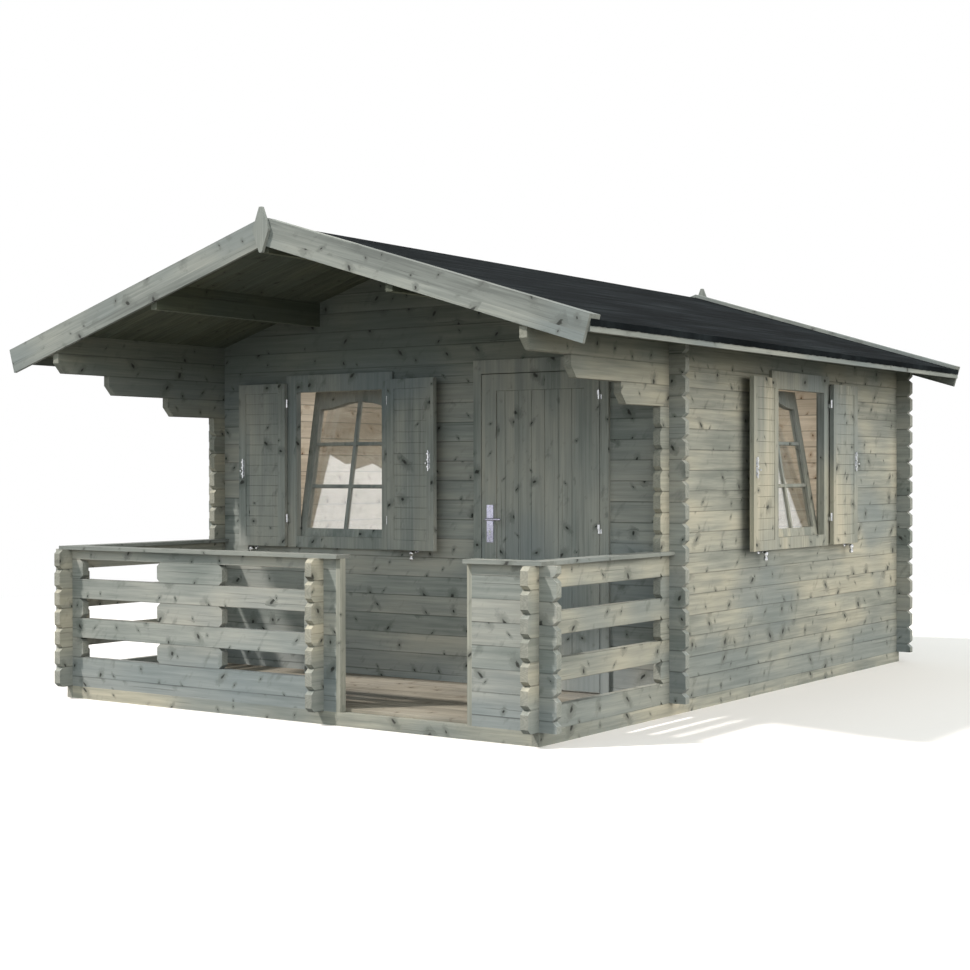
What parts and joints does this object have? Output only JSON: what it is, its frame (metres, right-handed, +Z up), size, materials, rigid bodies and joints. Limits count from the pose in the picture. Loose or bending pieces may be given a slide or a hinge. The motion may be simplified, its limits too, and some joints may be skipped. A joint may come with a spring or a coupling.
{
  "type": "guest cabin",
  "caption": "Small gabled log cabin with a railed veranda under its long roof, a hinged door and shuttered windows.",
  "frame": {"origin": "on the ground, under the middle of the cabin's outer box", "axes": "+X to the right as one faces the veranda, +Y from the veranda to the back wall, +Z up"},
  "size_m": [4.0188, 4.962, 2.7095],
  "materials": {
    "weathered_wood": "weathered",
    "bare_wood": "sawn",
    "base_wood": "weathered",
    "roof_felt": "mineral felt",
    "glass": "clear",
    "steel": "aged zinc"
  },
  "bodies": {
    "cabin": {"left_wall": "weathered_wood", "right_wall": "weathered_wood", "front_wall_left": "weathered_wood", "front_wall_right": "weathered_wood", "front_gable": "weathered_wood", "back_wall": "weathered_wood", "front_railing_left": "weathered_wood", "front_railing_right": "weathered_wood", "left_railing": "weathered_wood", "right_railing": "weathered_wood", "entrance_stack": "weathered_wood", "front_railing_caps": "weathered_wood", "side_railing_caps": "weathered_wood", "entrance_end_boards": "weathered_wood", "left_bargeboards": "weathered_wood", "right_bargeboards": "weathered_wood", "left_verge_strips": "weathered_wood", "right_verge_strips": "weathered_wood", "finials": "weathered_wood", "eave_fascias": "weathered_wood", "door_frame": "weathered_wood", "front_window_frame": "weathered_wood", "front_window_sash": "weathered_wood", "side_window_frame": "weathered_wood", "side_window_sash": "weathered_wood", "cabin_floor": "bare_wood", "veranda_floor": "bare_wood", "ridge_purlin": "bare_wood", "side_purlins": "bare_wood", "roof_boards_left": "bare_wood", "roof_boards_right": "bare_wood", "left_bearer": "base_wood", "right_bearer": "base_wood", "cross_bearers": "base_wood", "roof_felt_left": "roof_felt", "roof_felt_right": "roof_felt", "front_window_glass": "glass", "side_window_glass": "glass", "door_frame_hinges": "steel", "shutter_pins": "steel", "shutter_catches": "steel"},
    "door": {"door_leaf": "weathered_wood", "door_handle_plates": "steel", "door_leaf_hinges": "steel"},
    "door_lever": {"door_lever": "steel"},
    "front_left_shutter": {"front_left_shutter": "weathered_wood", "front_left_shutter_hinges": "steel"},
    "front_right_shutter": {"front_right_shutter": "weathered_wood", "front_right_shutter_hinges": "steel"},
    "side_left_shutter": {"side_left_shutter": "weathered_wood", "side_left_shutter_hinges": "steel"},
    "side_right_shutter": {"side_right_shutter": "weathered_wood", "side_right_shutter_hinges": "steel"}
  },
  "joints": [
    {"name": "door_hinge", "type": "hinge", "parent": "cabin", "child": "door", "pos_m": [1.2258, -1.082, 1], "axis": [0, 0, 1], "range_deg": [0, 110]},
    {"name": "lever_turn", "type": "hinge", "parent": "door", "child": "door_lever", "pos_m": [0.4933, -1.054, 1.046], "axis": [0, 1, 0], "range_deg": [0, 40], "stiffness_Nm_per_rad": 1.5},
    {"name": "front_left_shutter_hinge", "type": "hinge", "parent": "cabin", "child": "front_left_shutter", "pos_m": [-1.0387, -1.0955, 1.36], "axis": [0, 0, 1], "range_deg": [0, 180]},
    {"name": "front_right_shutter_hinge", "type": "hinge", "parent": "cabin", "child": "front_right_shutter", "pos_m": [-0.2417, -1.0955, 1.36], "axis": [0, 0, -1], "range_deg": [0, 173]},
    {"name": "side_left_shutter_hinge", "type": "hinge", "parent": "cabin", "child": "side_left_shutter", "pos_m": [1.6915, 0.1975, 1.36], "axis": [0, 0, 1], "range_deg": [0, 176]},
    {"name": "side_right_shutter_hinge", "type": "hinge", "parent": "cabin", "child": "side_right_shutter", "pos_m": [1.6915, 0.9945, 1.36], "axis": [0, 0, -1], "range_deg": [0, 180]}
  ]
}
